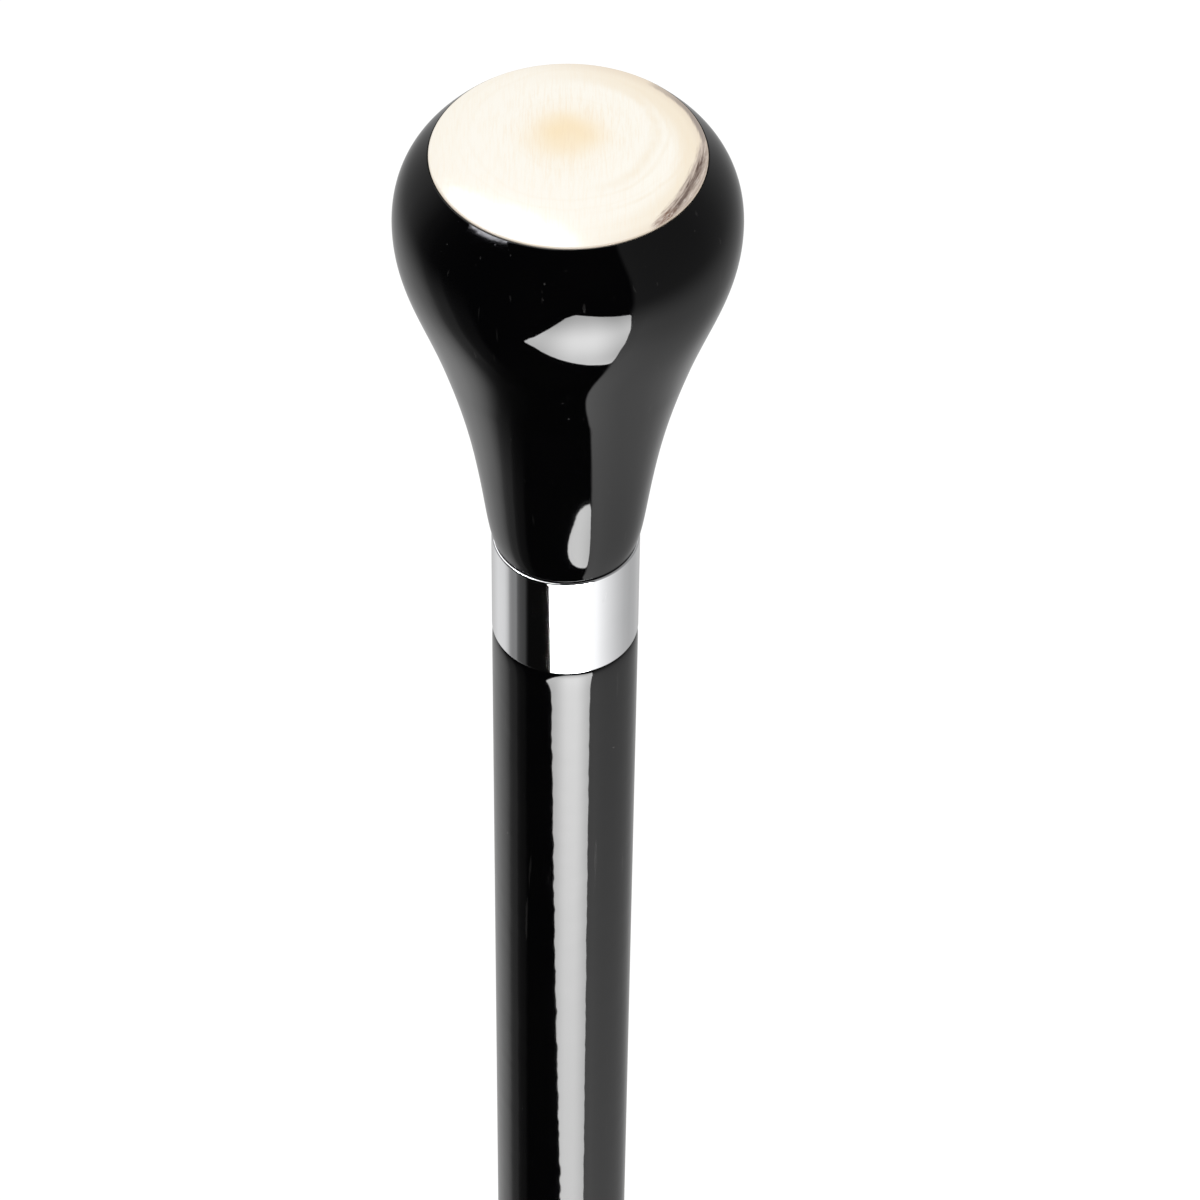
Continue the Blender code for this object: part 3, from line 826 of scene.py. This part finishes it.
class CANE_OT_hardware(Operator):
    """Make the threaded stud and the threaded brass insert that join knob and shaft"""

    bl_idname = "cane.hardware"
    bl_label = "Stud and insert"

    def execute(self, context):
        sizes = context.scene.cane_hardware
        self.make_stud(sizes)
        self.make_insert(sizes)
        return {"FINISHED"}

    def make_stud(self, sizes):
        """The stud: machine thread above, a plain shank, and a wood thread that tapers to a blunt point."""
        pitch, shank, crest = sizes.pitch, sizes.shank, STUD_HIGH.x
        length = STUD_HIGH.z - INSERT_LOW.z
        wood_length = INSERT_LOW.z - STUD_NECK - STUD_LOW.z

        def machine_end(radius, height):
            radius = shank + (radius - shank) * ease(height, 0.0, 0.0016)
            return min(radius, crest - STUD_CHAMFER + length - height)

        def wood_end(radius, height):
            radius = radius + (shank - radius) * ease(height, wood_length - 0.0035, wood_length)
            return radius * (0.22 + 0.78 * math.sqrt(min(max(height / STUD_POINT, 0.0), 1.0)))

        upper = thread_shape(crest, crest - THREAD_DEPTH * pitch, pitch, MACHINE_THREAD, length)
        reshape(upper, machine_end)
        lower = thread_shape(crest, crest * 0.74, sizes.wood_pitch, STUD_WOOD_THREAD, wood_length)
        reshape(lower, wood_end)
        shape = bmesh.new()
        add_shape(shape, upper, INSERT_LOW.z)
        add_shape(shape, lower, STUD_LOW.z)
        bmesh.ops.bridge_loops(shape, edges=open_edges(shape, INSERT_LOW.z - 0.0035, INSERT_LOW.z + 0.0001))
        bmesh.ops.holes_fill(shape, edges=open_edges(shape, 0.0, 1.0), sides=0)
        bmesh.ops.recalc_face_normals(shape, faces=shape.faces[:])
        material = machined_finish("zinc_plated_steel", sizes.steel, (0.40, 0.40, 0.38), 0.30, 5200.0)
        finish_piece(shape, "joining_stud_threaded", "cane", "joining_stud", material)

    def make_insert(self, sizes):
        """The insert: an inner thread that clears the stud's, a coarse outer thread, and flat ends."""
        pitch, outside = sizes.pitch, INSERT_HIGH.x
        crest, waist = STUD_HIGH.x + FIT_GAP, outside - INSERT_THREAD
        length = INSERT_HIGH.z - INSERT_LOW.z

        def inner_end(radius, height):
            return max(radius, crest + INSERT_CHAMFER - min(height, length - height))

        def outer_end(radius, height):
            return min(radius, waist + INSERT_CHAMFER + min(height, length - height) * 0.6)

        inner = thread_shape(crest, crest - THREAD_DEPTH * pitch, pitch, MACHINE_THREAD, length)
        reshape(inner, inner_end)
        outer = thread_shape(outside, waist, sizes.wood_pitch, INSERT_WOOD_THREAD, length, facets=56)
        reshape(outer, outer_end)
        shape = bmesh.new()
        add_shape(shape, inner, INSERT_LOW.z)
        add_shape(shape, outer, INSERT_LOW.z)
        for height in (INSERT_LOW.z, INSERT_HIGH.z):
            bmesh.ops.bridge_loops(shape, edges=open_edges(shape, height - 0.0001, height + 0.0001))
        bmesh.ops.recalc_face_normals(shape, faces=shape.faces[:])
        material = machined_finish("turned_brass", sizes.brass, (0.42, 0.27, 0.11), 0.28, 4200.0)
        finish_piece(shape, "knob_insert_threaded", "cane", "knob_insert", material)


class CANE_OT_foot(Operator):
    """Make the rubber foot and the washer in it"""

    bl_idname = "cane.foot"
    bl_label = "Rubber foot"

    def execute(self, context):
        sizes = context.scene.cane_foot
        self.make_moulding(sizes)
        self.make_washer(sizes)
        return {"FINISHED"}

    def make_moulding(self, sizes):
        """The foot: a socket, grip rings round its mouth, a waist, and a broad foot with a grooved tread."""
        top, foot_radius, lip = FOOT_HIGH.z, FOOT_HIGH.x, 0.0006
        socket = WASHER_HIGH.x + FIT_GAP
        mouth = socket + sizes.wall
        outline = [(0.0, sizes.floor), (socket, sizes.floor, 0.0004), (socket, top, 0.0004), (mouth, top, lip)]
        for ring in range(GRIP_RINGS):
            middle = top - lip - (ring + 0.5) * sizes.ring_pitch
            outline += [(mouth + out, middle + up, size) for up, out, size in GRIP_RING]
        waist = (mouth, top - lip - GRIP_RINGS * sizes.ring_pitch)
        drop = waist[1] - sizes.foot_height
        shoulder = (foot_radius, sizes.foot_height)
        outline += span(waist, 0.0, drop / 2, shoulder, math.radians(-35), drop / 4, 24)[:-1]
        outline += [(*shoulder, 0.0008), (foot_radius, 0.0, 0.0010)]
        depth = sizes.groove_depth
        for land in TREAD_LANDS:
            outline += [
                (land + TREAD_GROOVE, 0.0, 0.0003), (land + TREAD_GROOVE, depth, 0.0004), (land, depth, 0.0004),
                (land, 0.0, 0.0003),
            ]
        outline.append((0.0, 0.0))
        shape = turned_shape(outline, 160)
        finish_piece(shape, "ferrule_moulding", "foot", "ferrule", rubber_finish(sizes))

    def make_washer(self, sizes):
        """The stamped washer on the socket's floor."""
        shape = ring_shape(WASHER_BORE, WASHER_LOW, WASHER_HIGH, (0.0001, 0.0002, 0.0001, 0.0002), 128)
        material = machined_finish("washer_steel", sizes.steel, (0.33, 0.31, 0.28), 0.34, 3000.0)
        finish_piece(shape, "ferrule_washer_plate", "foot", "ferrule_washer", material)


# ---- Stage ----

# What gloss mirrors of the surround, as (azimuth, level) pairs at three elevations: from 42 to 56 degrees below the
# horizon, from 74 below it down, and from 12 below it up. Azimuths run from -Y towards +X, in degrees. The black
# card in front is from about -60 to 38.
SURROUND_LOW = (
    (-180, 0.50), (-150, 0.58), (-130, 0.70), (-118, 0.69), (-110, 0.66), (-104, 0.55), (-101, 0.47), (-97, 0.29),
    (-92, 0.225), (-83, 0.21), (-80, 0.10), (-75, 0.065), (-66, 0.048), (-62, 0.010), (-59, 0.003), (37, 0.003),
    (39.5, 1.10), (50, 1.05), (60, 0.88), (70, 0.75), (80, 0.65), (90, 0.56), (105, 0.46), (120, 0.41), (135, 0.43),
    (150, 0.50), (180, 0.50),
)
SURROUND_DEEP = (
    (-180, 0.05), (-150, 0.07), (-132, 0.42), (-120, 0.44), (-110, 0.20), (-103, 0.05), (-95, 0.02), (-60, 0.003),
    (38.5, 0.003), (41, 0.95), (60, 0.76), (80, 0.56), (105, 0.42), (130, 0.38), (150, 0.07), (180, 0.05),
)
SURROUND_HIGH = (
    (-180, 0.5), (-150, 0.45), (-120, 0.38), (-110, 0.26), (-100, 0.10), (-90, 0.035), (-80, 0.015), (-60, 0.003),
    (38.5, 0.003), (41, 0.30), (50, 0.27), (70, 0.24), (90, 0.22), (110, 0.26), (130, 0.40), (150, 0.5),
    (180, 0.5),
)
SURROUND_TOP = 1.3                # a ramp's colours stop at 1, so levels are divided by this and multiplied again

# The windows of the surround: softness, strength, tint, and four sides, each two or three (azimuth, elevation) places
DISTANT_WINDOWS = (
    (0.0015, 18.0, (0.93, 0.93, 1.0), (
        ((-77.5, 28.15), (-62.0, 33.15), (-48.5, 36.8)), ((-48.5, 36.8), (-44.0, 43.0)),
        ((-44.0, 43.0), (-82.0, 34.0)), ((-82.0, 34.0), (-79.0, 27.5)),
    )),
    (0.02, 1.7, (1.0, 1.0, 1.0), (
        ((-16.0, 54.0), (-50.0, 42.0), (-100.0, 30.0)), ((-100.0, 30.0), (-165.0, 42.0)),
        ((-165.0, 42.0), (-160.0, 82.0)), ((-160.0, 82.0), (-10.0, 62.0)),
    )),
    (0.004, 5.0, (1.0, 0.99, 1.0), (
        ((-173.6, 42.7), (179.2, 46.8)), ((179.2, 46.8), (180.0, 64.0)), ((180.0, 64.0), (-172.0, 64.0)),
        ((-172.0, 64.0), (-173.6, 42.7)),
    )),
)

# The near window: its distance and height from the knob's base, and its corners across and up from its middle
NEAR_WINDOW_AWAY, NEAR_WINDOW_RISE = 0.8, 0.0332
NEAR_WINDOW = (
    (-0.384, -0.112), (-0.292, -0.127), (-0.194, -0.178), (0.090, -0.302), (0.212, -0.352), (0.245, -0.285),
    (0.272, -0.205), (0.310, -0.140), (0.376, 0.010), (0.434, 0.248), (0.084, 0.405), (-0.048, 0.453),
    (-0.132, 0.390), (-0.280, 0.085), (-0.335, -0.030),
)
SLEEVE_START, SLEEVE_TURN = 64.0, 248.0     # the azimuth where the clear sleeve starts, and how far it turns
LAMP_AIM = Vector((0, 0, 0.6))
CAMERA_PLACE = (0.0, -0.4548, 1.3092)


def heading(azimuth, elevation):
    """The unit direction at an azimuth from -Y towards +X and an elevation, in degrees."""
    around, up = math.radians(azimuth), math.radians(elevation)
    return Vector((math.sin(around) * math.cos(up), -math.cos(around) * math.cos(up), math.sin(up)))


def distant_window(net, facing, softness, sides):
    """A soft-edged window within four sides: 1 inside it and 0 outside, by the direction that is faced.

    Two headings make a straight side, and three a curved one through them all.
    """

    def build(inner, given):
        result = None
        for side in "ABCD":
            across = inner.vectors("DOT_PRODUCT", given["Facing"], given[f"Side {side}"])
            inside = inner.maths("SUBTRACT", across, given[f"Inset {side}"])
            edge = inner.rise(inside, inner.times(given["Softness"], -1.0), given["Softness"])
            result = edge if result is None else inner.times(result, edge)
        return {"Window": result}

    places = [[heading(*corner) for corner in side] for side in sides]
    middle = sum((place for side in places for place in side), Vector())
    middle /= sum(len(side) for side in places)
    vectors, numbers = {"Facing": facing}, {"Softness": softness}
    for letter, side in zip("ABCD", places):
        if len(side) == 2:
            across, inset = side[0].cross(side[1]).normalized(), 0.0
        else:
            across = (side[1] - side[0]).cross(side[2] - side[0]).normalized()
            inset = across.dot(side[0])
        if across.dot(middle) < inset:
            across, inset = -across, -inset
        vectors[f"Side {letter}"], numbers[f"Inset {letter}"] = across, inset
    return net.group("soft_window", build, vectors, numbers)["Window"]


def make_world(scene, sizes):
    """A white dome that lights evenly, a white background, and what a glossy surface mirrors of the studio.

    Gloss mirrors the pale surround, the black card in front of it, and the distant windows.
    """
    world = bpy.data.worlds.new("studio")
    world.use_nodes = True
    scene.world = world
    net = Net(world.node_tree)
    net.tree.nodes.clear()
    facing = net.add("TexCoord").outputs["Generated"]
    x, y, z = net.parts(facing)
    around = net.maths("ARCTAN2", x, net.times(y, -1.0))
    up = net.times(net.maths("ARCSINE", z), 180 / math.pi)
    narrowing = {"Value": up, "From Min": -46.0, "From Max": -76.0, "To Min": 1.0, "To Max": 0.89}
    around = net.times(around, net.add("MapRange", narrowing).outputs[0])
    turn_share = net.times_plus(around, 1 / math.tau, 0.5)

    def surround(levels):
        node = net.add("ValToRGB", {"Fac": turn_share})
        elements = node.color_ramp.elements
        while len(elements) < len(levels):
            elements.new(0.5)
        for element, (azimuth, level) in zip(elements, levels):
            element.position = azimuth / 360 + 0.5
            element.color = opaque([level / SURROUND_TOP] * 3)
        return node.outputs["Color"]

    level = net.mix(net.rise(up, -56.0, -74.0), surround(SURROUND_LOW), surround(SURROUND_DEEP))
    level = net.mix(net.rise(up, -42.0, -12.0), level, surround(SURROUND_HIGH))
    studio = net.scaled(level, SURROUND_TOP)
    for softness, strength, glow, sides in DISTANT_WINDOWS:
        window = distant_window(net, facing, softness, sides)
        studio = net.vectors("ADD", studio, net.scaled(tuple(channel * strength for channel in glow), window))
    mirrored = net.add("Background", {"Color": studio})

    path, seen = net.seen_by_eye()
    strength = net.add("MapRange", {"Value": seen, "To Min": sizes.dome, "To Max": 1.0}).outputs[0]
    white = net.add("Background", {"Color": (1.0, 1.0, 1.0, 1.0), "Strength": strength})
    both = net.add("MixShader", {0: path["Is Glossy Ray"], 1: white.outputs[0], 2: mirrored.outputs[0]})
    net.add("OutputWorld", {"Surface": both.outputs[0]})
    world.cycles.sampling_method = "NONE"


def stage_material(name):
    """A material with an empty node tree, and its net."""
    material, net = new_finish(name)
    net.tree.nodes.clear()
    return material, net


def show_to_gloss(shape, name, material):
    """Add a shape to the stage that only gloss sees."""
    thing = mesh_object(shape, name, material)
    for kind in ("camera", "diffuse", "transmission", "volume_scatter", "shadow"):
        setattr(thing, f"visible_{kind}", False)


def window_glow(sizes, across, upwards, middle):
    """Light of the near window, fading from its middle towards its edges, and off for gloss behind the sleeve."""
    material, net = stage_material("window_glow")
    here = net.vectors("SUBTRACT", net.place(), middle)
    height = net.vectors("DOT_PRODUCT", here, upwards)
    sideways = net.away(net.vectors("DOT_PRODUCT", here, across), 0.03)
    fade = net.maths("SUBTRACT", 1.0, net.rise(height, 0.04, 0.42, 0.38))
    fade = net.maths("SUBTRACT", fade, net.rise(height, 0.06, -0.30, 0.48))
    fade = net.times(fade, net.maths("SUBTRACT", 1.0, net.rise(sideways, 0.04, 0.30, 0.30)))
    passed = net.add("LightPath").outputs["Transparent Depth"]
    fade = net.times(fade, net.maths("LESS_THAN", passed, 0.5))
    glow = net.add("Emission", {"Strength": net.times(fade, sizes.window)})
    net.add("OutputMaterial", {"Surface": glow.outputs[0]})
    material.cycles.emission_sampling = "NONE"
    return material


def make_window(sizes):
    """A soft window in front of the cane and below the knob, so near that its reflection shifts along the outline.

    Only gloss sees it.
    """
    towards = heading(8.0, -43.0)
    across = Vector((0, 0, 1)).cross(towards).normalized()
    upwards = towards.cross(across)
    middle = Vector((0, 0, KNOB_LOW.z + NEAR_WINDOW_RISE)) + towards * NEAR_WINDOW_AWAY
    shape = bmesh.new()
    shape.faces.new([shape.verts.new(middle + across * x + upwards * y) for x, y in NEAR_WINDOW])
    bmesh.ops.bevel(
        shape, geom=shape.verts[:], offset=0.02, segments=3, profile=0.5, material=-1, affect="VERTICES"
    )
    show_to_gloss(shape, "soft_window", window_glow(sizes, across, upwards, middle))


def make_sleeve():
    """A clear sleeve round the cane's sides and back, so that the near window isn't mirrored at a glancing angle."""
    outline = (
        (0.0110, 0.050), (0.0110, COLLAR_HIGH.z), (0.0150, KNOB_LOW.z + 0.022), (0.0182, KNOB_LOW.z + 0.033),
        (0.0224, KNOB_LOW.z + 0.046), (0.0232, KNOB_LOW.z + 0.053), (0.0224, KNOB_LOW.z + 0.058),
        (0.0195, KNOB_HIGH.z),
    )
    start = heading(SLEEVE_START, 0.0)
    shape = bmesh.new()
    chain(shape, [shape.verts.new(start * radius + Vector((0, 0, height))) for radius, height in outline])
    sweep(shape, math.radians(SLEEVE_TURN), 40)
    material, net = stage_material("clear_sleeve")
    net.add("OutputMaterial", {"Surface": net.add("BsdfTransparent").outputs[0]})
    show_to_gloss(shape, "clear_sleeve", material)


def floor_finish(sizes):
    """Pale floor that keeps the cane's shadow and shows white to the camera, clear from below."""
    material, net = stage_material("pale_floor")
    path, seen = net.seen_by_eye()
    seen = net.maths("MAXIMUM", seen, path["Is Glossy Ray"])
    tone = net.mix(net.noise(net.place(), 35.0, 3.0), sizes.floor, darker(sizes.floor, 0.985))
    paper = net.add("BsdfDiffuse", {"Color": tone})
    lift = net.add("Emission", {"Strength": net.times(seen, 0.16)})
    both = net.add("AddShader", {0: paper.outputs[0], 1: lift.outputs[0]})
    clear = net.add("BsdfTransparent")
    below = net.add("NewGeometry").outputs["Backfacing"]
    surface = net.add("MixShader", {0: below, 1: both.outputs[0], 2: clear.outputs[0]})
    net.add("OutputMaterial", {"Surface": surface.outputs[0]})
    return material


def make_floor(sizes):
    """A wide flat floor just under the cane's foot."""
    shape = bmesh.new()
    bmesh.ops.create_grid(shape, x_segments=8, y_segments=8, size=7.0)
    bmesh.ops.translate(shape, verts=shape.verts[:], vec=(0, 0, -0.0002))
    floor = mesh_object(shape, "studio_floor", floor_finish(sizes))
    floor.visible_glossy = False


def make_lamp(name, place, size, power):
    """A large soft lamp that faces the cane and stays out of the reflections."""
    data = bpy.data.lights.new(name, "AREA")
    data.shape = "SQUARE"
    data.size = size
    data.energy = power
    lamp = new_object(name, data)
    lamp.location = place
    lamp.rotation_mode = "QUATERNION"
    lamp.rotation_quaternion = (LAMP_AIM - Vector(place)).to_track_quat("-Z", "Y")
    lamp.visible_camera = False
    lamp.visible_glossy = False


def make_camera(scene, sizes):
    """The camera in front of the knob and above it, looking down at 46 degrees."""
    pan, tilt, roll = math.radians(0.565), math.radians(45.98), math.radians(0.793)
    ahead = Vector((math.sin(pan) * math.cos(tilt), math.cos(pan) * math.cos(tilt), -math.sin(tilt)))
    level = ahead.cross(Vector((0, 0, 1))).normalized()
    right = Matrix.Rotation(-roll, 3, ahead) @ level
    data = bpy.data.cameras.new("camera")
    data.lens = sizes.lens
    data.sensor_width = 36.0
    data.clip_start, data.clip_end = 0.01, 40.0
    camera = new_object("camera", data)
    turned = Matrix((right, right.cross(ahead), -ahead)).transposed()
    camera.matrix_world = Matrix.Translation(CAMERA_PLACE) @ turned.to_4x4()
    scene.camera = camera


class CANE_OT_stage(Operator):
    """Make the pale floor, the soft studio light and the camera"""

    bl_idname = "cane.stage"
    bl_label = "Stage"

    def execute(self, context):
        scene = context.scene
        sizes = scene.cane_studio
        make_floor(sizes)
        make_window(sizes)
        make_sleeve()
        make_world(scene, sizes)
        make_lamp("key_lamp", (-1.3, -1.5, 2.2), 1.4, sizes.key)
        make_lamp("fill_lamp", (1.8, -0.4, 1.6), 1.2, sizes.fill)
        make_camera(scene, sizes)
        scene.view_settings.view_transform = "Standard"
        return {"FINISHED"}


# ---- Panel and registration ----

SETTINGS = (
    ("cane_crown_disc", CrownDiscSettings, CANE_OT_crown_disc),
    ("cane_knob", KnobSettings, CANE_OT_knob),
    ("cane_collar", CollarSettings, CANE_OT_collar),
    ("cane_shaft", ShaftSettings, CANE_OT_shaft),
    ("cane_hardware", HardwareSettings, CANE_OT_hardware),
    ("cane_foot", FootSettings, CANE_OT_foot),
    ("cane_studio", StudioSettings, CANE_OT_stage),
)


class CANE_PT_pieces(Panel):
    """The cane's pieces, each with its sizes and colours"""

    bl_label = "Dress Cane"
    bl_idname = "CANE_PT_pieces"
    bl_space_type = "VIEW_3D"
    bl_region_type = "UI"
    bl_category = "Dress Cane"

    def draw(self, context):
        for name, group, operator in SETTINGS:
            box = self.layout.box()
            box.operator(operator.bl_idname)
            for field in group.__annotations__:
                box.prop(getattr(context.scene, name), field)


def register():
    """Register the settings, the operators and the panel."""
    for name, group, operator in SETTINGS:
        bpy.utils.register_class(group)
        bpy.utils.register_class(operator)
        setattr(bpy.types.Scene, name, PointerProperty(type=group))
    bpy.utils.register_class(CANE_PT_pieces)


def unregister():
    """Take them all off again."""
    bpy.utils.unregister_class(CANE_PT_pieces)
    for name, group, operator in reversed(SETTINGS):
        delattr(bpy.types.Scene, name)
        bpy.utils.unregister_class(operator)
        bpy.utils.unregister_class(group)


def main():
    """Build every piece and the stage."""
    register()
    bpy.ops.cane.crown_disc()
    bpy.ops.cane.knob()
    bpy.ops.cane.collar()
    bpy.ops.cane.shaft()
    bpy.ops.cane.hardware()
    bpy.ops.cane.foot()
    bpy.ops.cane.stage()


if __name__ == "__main__":
    main()
